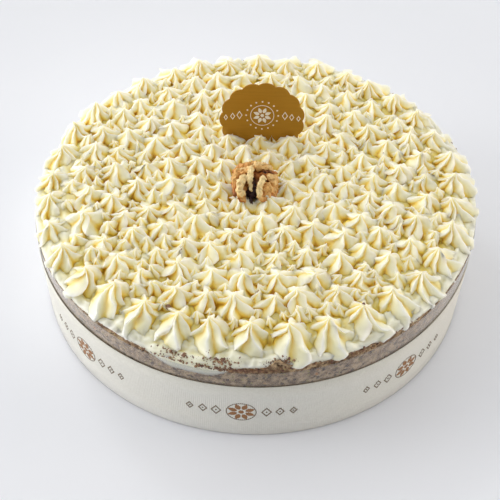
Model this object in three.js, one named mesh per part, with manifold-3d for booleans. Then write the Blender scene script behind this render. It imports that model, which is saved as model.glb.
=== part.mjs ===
// A round carrot cake: one tall sponge, a coat of cream cheese frosting covered with piped rosettes,
// a walnut half in the middle, a scalloped card plaque stuck in the frosting, and a clear collar
// and a ribbon round the side. Millimetres, +Z up, origin under the middle of the sponge.
import * as THREE from 'three';
import { mergeVertices } from 'three/addons/utils/BufferGeometryUtils.js';
import Module from 'manifold-3d';

const wasm = await Module();
wasm.setup();

// ---- driving dimensions ----
const cakeRadius = 130; // outside of the ribbon, half of a 26 cm cake
const gap = 0.3; // clearance between pieces that touch
const ribbon = { thickness: 0.5, bottom: 0.8, top: 46 };
const collar = { thickness: 0.3, bottom: 0.8, top: 57.5 };
const sponge = { height: 61.5, rimWidth: 10 }; // the rim is the band where the cream line wanders
const line = { height: 60.6, rise: 3, highest: 60 }; // where cream meets sponge, highest at that azimuth
const coat = { thickness: 4, edge: 1.9, shoulderWidth: 16 }; // the cream under the rosettes' peaks
const smear = { azimuth: -14, halfWidth: 13, depth: 8.5 }; // where cream runs down over the sponge
const rosette = { height: 8.8, spacing: 7.9, tipLean: 1.6, points: 6 };
const rim = { radius: 113.6, count: 36, height: 8.8, reach: 12.4 }; // the outermost ring of rosettes
const oval = 0.026; // the rings are this much narrower from front to back
const rows = [
  { radius: 96.8, count: 34 },
  { radius: 81, count: 29 },
  { radius: 65.5, count: 23 },
  { radius: 50.5, count: 18 },
  { radius: 36, count: 13 },
  { radius: 22, count: 8 },
  { radius: 8, count: 3 },
];
const walnut = { x: -1.2, y: -7.5, bottom: 69.5, width: 26, length: 28, height: 14, cleft: 0.42 };
const plaque = { x: 3.1, y: 36.5, bottom: 58.3, radius: 25.7, thickness: 0.8, lean: 6 };
const scallop = { count: 15, depth: 1.1 }; // the wavy edge of the plaque
const sides = 80; // facets round every ring

const collarOuter = cakeRadius - ribbon.thickness - gap;
const collarInner = collarOuter - collar.thickness;
const spongeRadius = collarInner - gap;
const coatRadius = spongeRadius - 1.2; // the smooth coat stands a little inside the sponge
const coatTop = sponge.height + gap + coat.thickness;

// ---- small tools ----
const polar = (radius, angle, z) => [radius * Math.cos(angle), radius * Math.sin(angle), z];
const smooth = (t) => {
  const c = Math.min(1, Math.max(0, t));
  return c * c * (3 - 2 * c);
};

// Park-Miller generator, so that every build lays the same rosettes
function makeRandom(seed) {
  let state = seed;
  return () => {
    state = (state * 16807) % 2147483647;
    return state / 2147483647;
  };
}

// Collects triangles given by their corners
class Facets {
  constructor() {
    this.values = [];
  }

  add(a, b, c) {
    this.values.push(...a, ...b, ...c);
  }

  // band between two closed loops that both run counter-clockwise round (cx, cy)
  zip(outer, inner, cx = 0, cy = 0) {
    const angleOf = (p) => (Math.atan2(p[1] - cy, p[0] - cx) + 2 * Math.PI) % (2 * Math.PI);
    const sorted = (loop) => [...loop].sort((p, q) => angleOf(p) - angleOf(q));
    const a = sorted(outer);
    const b = sorted(inner);
    const at = (loop, k) => angleOf(loop[k % loop.length]) + (k >= loop.length ? 2 * Math.PI : 0);
    let i = 0;
    let j = 0;
    while (i < a.length || j < b.length) {
      const p = a[i % a.length];
      const q = b[j % b.length];
      const stepOuter = j >= b.length || (i < a.length && at(a, i + 1) <= at(b, j + 1));
      if (stepOuter) {
        i += 1;
        this.add(q, p, a[i % a.length]);
      } else {
        j += 1;
        this.add(q, p, b[j % b.length]);
      }
    }
  }

  fan(loop, centre) {
    loop.forEach((p, k) => this.add(centre, p, loop[(k + 1) % loop.length]));
  }

  geometry() {
    const raw = new THREE.BufferGeometry();
    raw.setAttribute('position', new THREE.Float32BufferAttribute(this.values, 3));
    return mergeVertices(raw, 1e-3);
  }
}

function solidOf(geometry) {
  const bare = geometry.clone();
  bare.deleteAttribute('normal');
  bare.deleteAttribute('uv');
  const merged = mergeVertices(bare, 1e-4);
  const mesh = new wasm.Mesh({
    numProp: 3,
    vertProperties: new Float32Array(merged.attributes.position.array),
    triVerts: new Uint32Array(merged.index.array),
  });
  return new wasm.Manifold(mesh);
}

function geometryOf(solid) {
  const largest = solid.decompose().reduce((a, b) => (a.volume() > b.volume() ? a : b));
  const mesh = largest.getMesh();
  const geometry = new THREE.BufferGeometry();
  geometry.setAttribute('position', new THREE.BufferAttribute(new Float32Array(mesh.vertProperties), 3));
  geometry.setIndex(new THREE.BufferAttribute(new Uint32Array(mesh.triVerts), 1));
  return geometry;
}

function ringGeometry(inner, outer, bottom, top) {
  const section = [
    [inner, bottom],
    [outer, bottom],
    [outer, top],
    [inner, top],
    [inner, bottom],
  ];
  const lathe = new THREE.LatheGeometry(section.map(([x, y]) => new THREE.Vector2(x, y)), sides);
  return lathe.rotateX(Math.PI / 2);
}

// ---- the line between sponge and cream ----
// azimuth 0 is the front (-Y) and grows towards +X
const azimuthOf = (angle) => ((THREE.MathUtils.radToDeg(angle) + 90 + 540) % 360) - 180;

function plainLine(angle) {
  const waves = 0.35 * Math.sin(5 * angle + 1) + 0.3 * Math.sin(11 * angle) + 0.2 * Math.sin(23 * angle + 2);
  return line.height + line.rise * Math.cos(THREE.MathUtils.degToRad(azimuthOf(angle) - line.highest)) + waves;
}

function creamLine(angle) {
  const away = Math.abs(azimuthOf(angle) - smear.azimuth) / smear.halfWidth;
  return plainLine(angle) - smear.depth * smooth(1.5 * (1 - away));
}

const ringAngles = Array.from({ length: sides }, (_, k) => (2 * Math.PI * k) / sides);
const ringLoop = (radius, heightAt) => ringAngles.map((angle) => polar(radius, angle, heightAt(angle)));

function spongeGeometry() {
  const facets = new Facets();
  const foot = ringLoop(spongeRadius, () => 0);
  const shoulder = ringLoop(spongeRadius, creamLine);
  const plateau = ringLoop(spongeRadius - sponge.rimWidth, () => sponge.height);
  facets.fan([...foot].reverse(), [0, 0, 0]);
  foot.forEach((p, k) => {
    const n = (k + 1) % sides;
    facets.add(p, foot[n], shoulder[n]);
    facets.add(p, shoulder[n], shoulder[k]);
  });
  facets.zip(shoulder, plateau);
  facets.fan(plateau, [0, 0, sponge.height]);
  return facets.geometry();
}

// ---- where the rosettes stand ----
function layRosettes() {
  const random = makeRandom(2731);
  const spread = (amount) => amount * (2 * random() - 1);
  const flatten = (angle) => 1 + oval * Math.cos(2 * angle);
  const list = [];
  for (let k = 0; k < rim.count; k += 1) {
    const angle = (2 * Math.PI * (k + spread(0.07))) / rim.count - Math.PI / 2;
    const radius = (rim.radius + spread(1.5)) * flatten(angle);
    list.push({ x: radius * Math.cos(angle), y: radius * Math.sin(angle), size: 1 + spread(0.08), onRim: true });
  }
  rows.forEach((row, r) => {
    for (let k = 0; k < row.count; k += 1) {
      const angle = (2 * Math.PI * (k + 0.5 * (r % 2) + spread(0.2))) / row.count;
      const radius = (row.radius + spread(3)) * flatten(angle);
      const size = 0.93 + spread(0.17);
      list.push({ x: radius * Math.cos(angle), y: radius * Math.sin(angle), size, onRim: false });
    }
  });
  // neighbours that stand too close push each other apart, as piped cream does
  for (let pass = 0; pass < 6; pass += 1) {
    for (const a of list) {
      for (const b of list) {
        const dx = b.x - a.x;
        const dy = b.y - a.y;
        const distance = Math.hypot(dx, dy);
        const room = rosette.spacing * (a.size + b.size);
        if (a !== b && distance < room) {
          const push = (0.25 * (room - distance)) / distance;
          if (!b.onRim) {
            b.x += dx * push;
            b.y += dy * push;
          }
        }
      }
    }
  }
  for (const r of list) {
    r.turn = 2 * Math.PI * random();
    r.height = (r.onRim ? rim.height : rosette.height) * (0.9 + 0.1 * r.size + spread(0.1));
    r.leanAngle = 2 * Math.PI * random();
    r.lean = rosette.tipLean * random();
  }
  return list;
}

// ---- the cream: one cell of the top for each rosette, then a skirt and a flat underside ----
function coatHeight(x, y) {
  const inward = coatRadius - Math.hypot(x, y);
  const dips = 0.5 * Math.sin(0.31 * x + 1) * Math.sin(0.27 * y);
  const fall = coatTop - coat.edge - plainLine(Math.atan2(y, x));
  return coatTop - fall * smooth(1 - inward / coat.shoulderWidth) + dips;
}

// keeps the part of a convex polygon that is nearer to a than to b
function clipTowards(polygon, a, b) {
  const nx = b.x - a.x;
  const ny = b.y - a.y;
  const limit = (b.x * b.x + b.y * b.y - a.x * a.x - a.y * a.y) / 2;
  const side = (p) => nx * p[0] + ny * p[1] - limit;
  const kept = [];
  polygon.forEach((p, k) => {
    const q = polygon[(k + 1) % polygon.length];
    const sp = side(p);
    const sq = side(q);
    if (sp <= 0) kept.push(p);
    if (sp < 0 !== sq < 0) {
      const t = sp / (sp - sq);
      kept.push([p[0] + t * (q[0] - p[0]), p[1] + t * (q[1] - p[1])]);
    }
  });
  return kept;
}

// distance from a point inside a convex polygon to its edge, along a direction
function reach(polygon, x, y, angle) {
  const ux = Math.cos(angle);
  const uy = Math.sin(angle);
  let best = Infinity;
  polygon.forEach((p, k) => {
    const q = polygon[(k + 1) % polygon.length];
    const ex = q[0] - p[0];
    const ey = q[1] - p[1];
    const across = ux * ey - uy * ex;
    const t = ((p[0] - x) * ey - (p[1] - y) * ex) / across;
    if (across > 0 && t > 0) best = Math.min(best, t);
  });
  return best;
}

// a rosette's loops of crests and valleys: share of the cell's reach, and height as a share of its own
const belly = { crest: 0.92, valley: 0.64, crestHeight: 0.34, valleyHeight: 0.14, widest: 10.5 };
const neck = { crest: 0.44, valley: 0.24, crestHeight: 0.68, valleyHeight: 0.56 };

function rosetteLoops(r, cell) {
  const floor = coatHeight(r.x, r.y);
  const outwards = Math.atan2(r.y, r.x);
  const loops = { belly: [], neck: [] };
  for (let k = 0; k < 2 * rosette.points; k += 1) {
    const isCrest = k % 2 === 0;
    const angle = r.turn + (Math.PI * k) / rosette.points;
    const facing = r.onRim ? Math.max(0, Math.cos(angle - outwards)) : 0;
    const room = reach(cell, r.x, r.y, angle);
    const plain = Math.min(room, belly.widest * r.size);
    const share = isCrest ? belly.crest : belly.valley;
    let radius = plain * share;
    radius += (rim.reach - (isCrest ? 0 : 2.6) - radius) * facing ** 2;
    const x = r.x + radius * Math.cos(angle);
    const y = r.y + radius * Math.sin(angle);
    const height = r.height * (isCrest ? belly.crestHeight : belly.valleyHeight);
    const neckRadius = belly.widest * r.size * (isCrest ? neck.crest : neck.valley);
    const neckHeight = r.height * (isCrest ? neck.crestHeight : neck.valleyHeight);
    const leanX = 0.5 * r.lean * Math.cos(r.leanAngle);
    const leanY = 0.5 * r.lean * Math.sin(r.leanAngle);
    loops.belly.push([x, y, coatHeight(x, y) + height]);
    loops.neck.push([
      r.x + leanX + neckRadius * Math.cos(angle),
      r.y + leanY + neckRadius * Math.sin(angle),
      floor + neckHeight,
    ]);
  }
  loops.tip = [r.x + r.lean * Math.cos(r.leanAngle), r.y + r.lean * Math.sin(r.leanAngle), floor + r.height];
  return loops;
}

function frostingGeometry() {
  const facets = new Facets();
  const stars = layRosettes();
  const border = ringAngles.map((angle) => polar(coatRadius, angle, 0));
  const edgeLoop = new Map();
  for (const r of stars) {
    let cell = border;
    for (const other of stars) {
      if (other !== r) cell = clipTowards(cell, r, other);
    }
    const foot = cell.map(([x, y]) => [x, y, coatHeight(x, y)]);
    foot.forEach((p) => {
      const onEdge = Math.hypot(p[0], p[1]) > coatRadius * Math.cos(Math.PI / sides) - 1e-6;
      if (onEdge) edgeLoop.set(p.map((v) => v.toFixed(3)).join(), p);
    });
    const loops = rosetteLoops(r, cell);
    facets.zip(foot, loops.belly, r.x, r.y);
    loops.belly.forEach((p, k) => {
      const n = (k + 1) % loops.belly.length;
      facets.add(p, loops.belly[n], loops.neck[n]);
      facets.add(p, loops.neck[n], loops.neck[k]);
    });
    facets.fan(loops.neck, loops.tip);
  }
  const lowerEdge = ringLoop(spongeRadius, (angle) => creamLine(angle) + gap);
  const plateau = ringLoop(spongeRadius - sponge.rimWidth, () => sponge.height + gap);
  facets.zip(lowerEdge, [...edgeLoop.values()]);
  const under = new Facets();
  under.zip(lowerEdge, plateau);
  under.fan(plateau, [0, 0, sponge.height + gap]);
  for (let k = 0; k < under.values.length; k += 9) {
    const [a, b, c] = [0, 3, 6].map((s) => under.values.slice(k + s, k + s + 3));
    facets.add(a, c, b);
  }
  return facets.geometry();
}

// ---- toppings ----
// an ellipsoid about the middle of the kernel, its poles on Z
function kernelBlank(width, length, height, around, along) {
  const shape = new THREE.SphereGeometry(1, around, along);
  shape.rotateX(Math.PI / 2);
  shape.scale(width / 2, length / 2, height / 2);
  return shape.translate(walnut.x, walnut.y, walnut.bottom + walnut.height / 2);
}

// half a kernel: two folded lobes, joined at the back and parted by a cleft that opens at the front
function walnutGeometry() {
  const shape = kernelBlank(walnut.width, walnut.length, walnut.height, 36, 16);
  const centre = new THREE.Vector3(walnut.x, walnut.y, walnut.bottom + walnut.height / 2);
  const place = shape.attributes.position;
  const p = new THREE.Vector3();
  for (let k = 0; k < place.count; k += 1) {
    p.fromBufferAttribute(place, k).sub(centre);
    const across = (2 * Math.abs(p.x)) / walnut.width;
    const along = (2 * p.y) / walnut.length;
    const up = (2 * p.z) / walnut.height;
    const cleft = Math.exp(-((across / 0.18) ** 2)) * smooth(0.4 - along) * (up > -0.5 ? 1 : 0.4);
    const folds = up > -0.2 ? 0.055 * Math.sin(9 * along + 3 * across) + 0.05 * Math.sin(8 * across + 4 * up) : 0;
    p.multiplyScalar(1 + folds - walnut.cleft * cleft).add(centre);
    place.setXYZ(k, p.x, p.y, p.z);
  }
  return shape;
}

function discGeometry(thickness, steps, radiusAt) {
  const outline = new THREE.Shape();
  for (let k = 0; k < steps; k += 1) {
    const angle = (2 * Math.PI * k) / steps;
    const [x, y] = polar(radiusAt(angle), angle, 0);
    if (k) outline.lineTo(x, y);
    else outline.moveTo(x, y);
  }
  const lean = THREE.MathUtils.degToRad(plaque.lean);
  const card = new THREE.ExtrudeGeometry(outline, { depth: thickness, bevelEnabled: false });
  card.translate(0, 0, -thickness / 2).rotateX(Math.PI / 2 - lean);
  return card.translate(plaque.x, plaque.y, plaque.bottom + plaque.radius * Math.cos(lean));
}

const scallopedRadius = (angle) =>
  plaque.radius - scallop.depth * (1 - Math.abs(Math.sin((scallop.count * angle) / 2)));

// ---- the cake ----
function piece(name, geometry, color, roughness, metalness = 0) {
  const mesh = new THREE.Mesh(geometry, new THREE.MeshStandardMaterial({ color, roughness, metalness }));
  mesh.name = name;
  return mesh;
}

// the cream closes round the card and round the lower half of the kernel, with a little room
const slot = solidOf(discGeometry(plaque.thickness + 2 * gap, 48, () => plaque.radius + gap));
const bulge = 1.1; // the folds stand out of the blank by up to a tenth
const seatSize = [walnut.width * bulge, walnut.length * bulge, walnut.height].map((size) => size + 2 * gap);
const seat = solidOf(kernelBlank(...seatSize, 36, 16));
const spongeSolid = solidOf(spongeGeometry()).subtract(slot);
const frostingSolid = solidOf(frostingGeometry()).subtract(slot).subtract(seat);

const card = discGeometry(plaque.thickness, 6 * scallop.count, scallopedRadius);
const collarRing = ringGeometry(collarInner, collarOuter, collar.bottom, collar.top);
const ribbonRing = ringGeometry(cakeRadius - ribbon.thickness, cakeRadius, ribbon.bottom, ribbon.top);

const cake = new THREE.Group();
cake.add(
  piece('sponge', geometryOf(spongeSolid), '#8a6f58', 0.95),
  piece('frosting', geometryOf(frostingSolid), '#f4ecc8', 0.5),
  piece('walnut_half', walnutGeometry(), '#b98a52', 0.6),
  piece('card_plaque', card, '#94651a', 0.4, 0.4),
  piece('clear_collar', collarRing, '#f2f4f5', 0.1),
  piece('ribbon', ribbonRing, '#efeeea', 0.55),
);

export default cake;
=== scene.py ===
# A round carrot cake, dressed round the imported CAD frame. Lengths are in millimetres until a mesh
# is made, and meshes are in metres. Azimuth 0 is the front (-Y) and grows towards +X.
import math

import bmesh
import bpy
import numpy as np
from mathutils import Matrix, Vector, kdtree, noise
from mathutils.bvhtree import BVHTree


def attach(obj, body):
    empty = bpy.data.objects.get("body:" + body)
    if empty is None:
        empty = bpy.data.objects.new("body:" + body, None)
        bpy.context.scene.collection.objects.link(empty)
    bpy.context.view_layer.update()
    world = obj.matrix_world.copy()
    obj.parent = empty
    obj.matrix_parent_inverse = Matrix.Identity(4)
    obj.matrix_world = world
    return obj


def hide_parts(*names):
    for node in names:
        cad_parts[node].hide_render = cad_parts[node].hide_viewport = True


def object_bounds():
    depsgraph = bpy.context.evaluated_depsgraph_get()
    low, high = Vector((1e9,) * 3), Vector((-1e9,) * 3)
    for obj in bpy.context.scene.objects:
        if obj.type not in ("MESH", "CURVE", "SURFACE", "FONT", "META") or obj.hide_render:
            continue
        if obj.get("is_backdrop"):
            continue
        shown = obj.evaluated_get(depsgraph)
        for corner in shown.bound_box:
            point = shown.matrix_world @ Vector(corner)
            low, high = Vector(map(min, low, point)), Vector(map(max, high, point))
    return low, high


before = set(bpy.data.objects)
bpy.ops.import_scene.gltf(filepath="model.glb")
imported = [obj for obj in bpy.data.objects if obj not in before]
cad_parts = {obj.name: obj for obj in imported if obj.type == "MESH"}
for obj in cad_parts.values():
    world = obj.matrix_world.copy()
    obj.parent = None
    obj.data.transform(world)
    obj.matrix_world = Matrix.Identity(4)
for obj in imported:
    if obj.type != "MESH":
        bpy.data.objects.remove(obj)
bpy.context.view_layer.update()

mm = 0.001
tau = 2 * math.pi
rng = np.random.default_rng(11)  # the dressing's draws all come from it, in the order of this file
noise.seed_set(8)  # without a seed the vector noise would differ from run to run


def linear(hexColour):  # sRGB hex to the linear colour that sockets take
    values = [int(hexColour[k:k + 2], 16) / 255 for k in (1, 3, 5)]
    return [v / 12.92 if v <= 0.04045 else ((v + 0.055) / 1.055) ** 2.4 for v in values] + [1.0]


def perMetre(size):  # scale of a pattern whose grains are that many millimetres across
    return 1 / (size * mm)


def smooth(t):
    t = np.clip(t, 0, 1)
    return t * t * (3 - 2 * t)


def azimuthOf(angle):
    return (np.degrees(angle) + 90 + 540) % 360 - 180


def angleOf(azimuth):
    return np.radians(azimuth - 90)


def curveThrough(points, t):  # smooth curve through (t, value) points
    x, y = np.array(points, float).T
    slope = np.gradient(y, x)
    k = np.clip(np.searchsorted(x, t, side="right") - 1, 0, len(x) - 2)
    width = x[k + 1] - x[k]
    s = (t - x[k]) / width
    start = (1 + 2 * s) * (1 - s) ** 2 * y[k] + s * (1 - s) ** 2 * width * slope[k]
    return start + s * s * (3 - 2 * s) * y[k + 1] + s * s * (s - 1) * width * slope[k + 1]


def noiseAt(x, y, z):  # soft noise from about -1 to 1 at many places
    return np.array([noise.noise(Vector(place)) for place in np.broadcast(x, y, z)])


def noiseRound(angle, octaves):  # noise that closes round the cake; an octave is its waves, share and seed
    return sum(share * noiseAt(waves * np.cos(angle), waves * np.sin(angle), seed)
               for waves, share, seed in octaves)


def circle(radius, angle, z):  # points round the cake; radius and z are numbers, or one for each angle
    return np.stack(np.broadcast_arrays(radius * np.cos(angle), radius * np.sin(angle), z), -1)


def coordinates(piece):  # its vertices, one row each, in metres
    flat = np.empty(len(piece.data.vertices) * 3, "f")
    piece.data.vertices.foreach_get("co", flat)
    return flat.reshape(-1, 3)


def storeValues(piece, name, values):  # one number for each vertex, which a material can read
    piece.data.attributes.new(name, "FLOAT", "POINT").data.foreach_set("value", np.asarray(values, "f"))


def meshObject(name, points, faces, values=None):
    mesh = bpy.data.meshes.new(name)
    mesh.from_pydata((np.asarray(points, float) * mm).tolist(), [], [list(map(int, f)) for f in faces])
    mesh.shade_smooth()
    piece = bpy.data.objects.new(name, mesh)
    bpy.context.scene.collection.objects.link(piece)
    for key, value in (values or {}).items():
        storeValues(piece, key, value)
    return piece


def closedSkin(rings, foot, tip):  # a skin over rings that run counter-clockwise, from the foot to the tip
    count = len(rings[0])
    points = np.vstack([*rings, foot, tip])
    last = len(points) - 2 - count  # where the top ring starts
    faces = []
    for row in range(0, last, count):
        for c in range(count):
            across = (c + 1) % count
            faces.append((row + c, row + across, row + count + across, row + count + c))
    faces += [((c + 1) % count, c, len(points) - 2) for c in range(count)]
    faces += [(last + c, last + (c + 1) % count, len(points) - 1) for c in range(count)]
    return points, faces


def join(shapes):  # (points, faces) pairs made into one
    points, faces, count = [], [], 0
    for shapePoints, shapeFaces in shapes:
        points.append(np.asarray(shapePoints, float))
        faces.extend(tuple(i + count for i in face) for face in shapeFaces)
        count += len(shapePoints)
    return np.concatenate(points), faces


def finishedMesh(piece):  # the piece's mesh with its modifiers in it
    graph = bpy.context.evaluated_depsgraph_get()
    mesh = bpy.data.meshes.new_from_object(piece.evaluated_get(graph), depsgraph=graph)
    piece.modifiers.clear()
    old = piece.data
    piece.data = mesh
    bpy.data.meshes.remove(old)
    mesh.name = piece.name
    mesh.shade_smooth()


def fuse(name, parts):  # one Boolean union of closed shapes, each (points, faces, values)
    pieces = [meshObject(name, *part) for part in parts]
    others = bpy.data.collections.new(name)
    bpy.context.scene.collection.children.link(others)
    for piece in pieces[1:]:
        bpy.context.scene.collection.objects.unlink(piece)
        others.objects.link(piece)
    union = pieces[0].modifiers.new("union", "BOOLEAN")
    union.operation, union.operand_type = "UNION", "COLLECTION"
    union.solver, union.collection = "MANIFOLD", others
    finishedMesh(pieces[0])
    for piece in pieces[1:]:
        bpy.data.objects.remove(piece)
    bpy.data.collections.remove(others)
    pieces[0].name = name
    return pieces[0]


def addNode(tree, kind, settings=None, links=None):
    node = tree.nodes.new(kind)
    for name, value in (settings or {}).items():
        if name == "stops":  # a ramp's own list of places and colours
            stops = node.color_ramp.elements
            while len(stops) < len(value):
                stops.new(0.5)
            for stop, (place, colour) in zip(stops, value):
                stop.position, stop.color = place, linear(colour)
        elif isinstance(name, str) and hasattr(node, name):
            setattr(node, name, value)
        else:
            node.inputs[name].default_value = value
    for name, source in (links or {}).items():
        tree.links.new(source, node.inputs[name])
    return node


def newMaterial(name, surface):  # surface lays its nodes in a tree and returns the shader
    material = bpy.data.materials.new(name)
    material.use_nodes = True
    tree = material.node_tree
    tree.nodes.clear()
    addNode(tree, "ShaderNodeOutputMaterial", links={"Surface": surface(tree).outputs[0]})
    return material


def dress(piece, material, slot, *nodes):
    piece.data.materials.clear()
    piece.data.materials.append(material)
    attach(piece, "root")
    if nodes:
        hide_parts(*nodes)


camera = {
    "distance": 579.2, "elevation": 48.37, "roll": 1.25, "lens": 64.8,
    "leftwards": 0.25, "upwards": 0.5,  # degrees that the axis points past the cake's foot
}
elevation = math.radians(camera["elevation"])
back = Vector((0, -math.cos(elevation), math.sin(elevation)))
view = bpy.data.cameras.new("view")
view.lens, view.sensor_width = camera["lens"], 36
view.clip_start, view.clip_end = 0.05, 20
viewer = bpy.data.objects.new("viewer", view)
bpy.context.scene.collection.objects.link(viewer)
turned = Matrix((Vector((1, 0, 0)), back.cross(Vector((1, 0, 0))), back)).transposed()
for axis, degrees in (("Z", camera["roll"]), ("Y", camera["leftwards"]), ("X", camera["upwards"])):
    turned = turned @ Matrix.Rotation(math.radians(degrees), 3, axis)
viewer.matrix_world = Matrix.Translation(back * camera["distance"] * mm) @ turned.to_4x4()
bpy.context.scene.camera = viewer

studio = {
    "sky": "#f3f4f2", "skyStrength": (0.05, 1.13), "brightest": (-0.45, 0.8, 0.4),  # towards its bright side
    "floor": "#eef0f8", "floorHalf": 4000, "floorLevel": -0.05, "floorRoughness": 0.7,
    "suns": [  # name, direction it comes from, degrees across, strength, colour
        ("window", (-1.2, 0.1, 0.85), 60, 0.41, "#fffaf2"),
        ("ceiling", (0.0, 0.3, 1.0), 150, 0.26, "#fffdf8"),
        ("lowLeft", (-1.3, 0.05, 0.08), 30, 2.3, "#fffdf8"),
        ("lowRight", (1.3, 0.1, 0.12), 30, 1.7, "#fff2de"),
    ],
    # a soft spot that makes the cake's back left a little brighter than its front
    "spot": {"place": (-0.35, 0.5, 0.6), "at": (-0.045, 0.055, 0.06), "across": 26, "size": 0.15,
             "power": 7},
}
world = bpy.data.worlds.new("studio")
bpy.context.scene.world = world
world.use_nodes = True
tree = world.node_tree
sky = tree.nodes["Background"]
towards = addNode(tree, "ShaderNodeTexCoord").outputs["Generated"]
facing = addNode(tree, "ShaderNodeVectorMath", {"operation": "DOT_PRODUCT", 1: studio["brightest"]},
                 {0: towards})
dim, bright = studio["skyStrength"]
glow = addNode(tree, "ShaderNodeMapRange", {1: -1, 2: 1, 3: dim, 4: bright}, {0: facing.outputs["Value"]})
sky.inputs["Color"].default_value = linear(studio["sky"])
tree.links.new(glow.outputs[0], sky.inputs["Strength"])


def addLight(name, kind, place, target, settings):
    lamp = bpy.data.lights.new(name, kind)
    for key, value in settings.items():
        setattr(lamp, key, value)
    light = bpy.data.objects.new(name, lamp)
    light.location = place
    light.rotation_euler = (Vector(target) - Vector(place)).to_track_quat("-Z", "Y").to_euler()
    bpy.context.scene.collection.objects.link(light)


for name, side, across, strength, colour in studio["suns"]:
    addLight(name, "SUN", side, (0, 0, 0), {
        "angle": math.radians(across), "energy": strength, "color": linear(colour)[:3],
    })
spot = studio["spot"]
addLight("spot", "SPOT", spot["place"], spot["at"], {
    "spot_size": math.radians(spot["across"]), "spot_blend": 1.0, "shadow_soft_size": spot["size"],
    "energy": spot["power"],
})
bpy.context.scene.view_settings.view_transform = "Standard"


def tablePaint(tree):  # matt emulsion: an even pale ground that takes soft shadows and doesn't shine
    return addNode(tree, "ShaderNodeBsdfPrincipled", {
        "Base Color": linear(studio["floor"]), "Roughness": studio["floorRoughness"]})


half, level = studio["floorHalf"], studio["floorLevel"]
floorCorners = [(x * half, y * half, level) for x, y in ((-1, -1), (1, -1), (1, 1), (-1, 1))]
floor = meshObject("floor", floorCorners, [(0, 1, 2, 3)])
floor.data.materials.append(newMaterial("painted table, matt, pale and cool", tablePaint))
floor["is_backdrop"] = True
print("camera, light and floor")

# sizes shared with the solids
cake = {
    "spongeRadius": 128.6, "spongeTop": 61.5, "coatRadius": 127.4, "coatTop": 65.8, "plateau": 118.6,
    "edge": 1.9, "shoulderWidth": 16, "oval": 0.026,
}
# where cream meets sponge: highest at one azimuth, and sagging a little at another
line = {"height": 60.6, "rise": 3, "highest": 60, "sag": 1.6, "sagAt": -68, "sagWidth": 14}
smear = {"azimuth": -14, "halfWidth": 13, "depth": 8.5}  # cream drawn down over the sponge
peak = {"azimuth": 6.2, "height": 4.6, "width": 1.9}  # crumb that stands up through the cream
# the walnut half's foot, and the hollow it presses into the cream, which keeps a share of its old height
kernel = {"x": -1.2, "y": -7.5, "z": 69.5, "voxel": 0.38,
          "seat": {"above": 7.6, "across": 13.5, "along": 14.5, "deep": 7.4, "keeps": 0.05}}


def plainLine(angle):  # height where sponge ends and cream starts, all round
    waves = 0.35 * np.sin(5 * angle + 1) + 0.3 * np.sin(11 * angle) + 0.2 * np.sin(23 * angle + 2)
    return line["height"] + line["rise"] * np.cos(np.radians(azimuthOf(angle) - line["highest"])) + waves


def creamLine(angle):  # the same with its sag and the smear
    away = np.abs(azimuthOf(angle) - smear["azimuth"]) / smear["halfWidth"]
    sag = line["sag"] * np.exp(-((azimuthOf(angle) - line["sagAt"]) / line["sagWidth"]) ** 2)
    return plainLine(angle) - smear["depth"] * smooth(1.5 * (1 - away)) - sag


def peakShare(angle):
    return np.exp(-np.abs((azimuthOf(angle) - peak["azimuth"]) / peak["width"]) ** 1.3)


def coatHeight(x, y):  # top of the smooth cream under the rosettes
    inward = cake["coatRadius"] - np.hypot(x, y)
    dips = 0.5 * np.sin(0.31 * x + 1) * np.sin(0.27 * y)
    fall = cake["coatTop"] - cake["edge"] - plainLine(np.arctan2(y, x))
    return cake["coatTop"] - fall * smooth(1 - inward / cake["shoulderWidth"]) + dips


# where the rosettes stand, by the solids' own draws: the rim, then the rings inside it
rim = {
    "radius": 113.6, "count": 36, "start": -math.pi / 2, "shift": 0.07, "uneven": 1.5,
    "size": 1, "sizeSpread": 0.08, "height": 8.8,
    "outward": 4.2, "outwardAt": -68, "outwardWidth": 22,  # at the left the ring bows outwards
    "narrow": 0.82, "foot": 128.4, "footIn": 3.6, "edge": 130.2,  # the foot draws in over the smear
}
field = {
    "rows": [(96.8, 34), (81, 29), (65.5, 23), (50.5, 18), (36, 13), (22, 8), (8, 3)],  # radius, count
    "start": 0, "shift": 0.2, "uneven": 3, "size": 0.93, "sizeSpread": 0.17, "room": 7.9,
}


def layRosettes():
    state = 2731

    def draw():
        nonlocal state
        state = state * 16807 % 2147483647
        return state / 2147483647

    def spread(amount):
        return amount * (2 * draw() - 1)

    found = []
    for ring, (ringRadius, count) in enumerate([(rim["radius"], rim["count"])] + field["rows"]):
        kind = field if ring else rim
        stagger = 0.5 if ring and ring % 2 == 0 else 0
        for k in range(count):
            angle = kind["start"] + tau * (k + stagger + spread(kind["shift"])) / count
            oval = 1 + cake["oval"] * math.cos(2 * angle)  # a ring is narrower from front to back
            radius = (ringRadius + spread(kind["uneven"])) * oval
            if ring == 0:
                away = (azimuthOf(angle) - rim["outwardAt"]) / rim["outwardWidth"]
                radius += rim["outward"] * math.exp(-away ** 2)
            found.append({"x": radius * math.cos(angle), "y": radius * math.sin(angle),
                          "size": kind["size"] + spread(kind["sizeSpread"]), "ring": ring})
    for _ in range(6):  # those that stand too close push each other apart
        for a in found:
            for b in found:
                dx, dy = b["x"] - a["x"], b["y"] - a["y"]
                distance, room = math.hypot(dx, dy), field["room"] * (a["size"] + b["size"])
                if a is not b and distance < room and b["ring"]:
                    push = 0.25 * (room - distance) / distance
                    b["x"] += dx * push
                    b["y"] += dy * push
    for r in found:
        r["turn"] = tau * draw()
        r["height"] = rim["height"] * (0.9 + 0.1 * r["size"] + spread(0.1))
        r["leanAngle"] = tau * draw()
        r["lean"] = 1.6 * draw()
    return found


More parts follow.
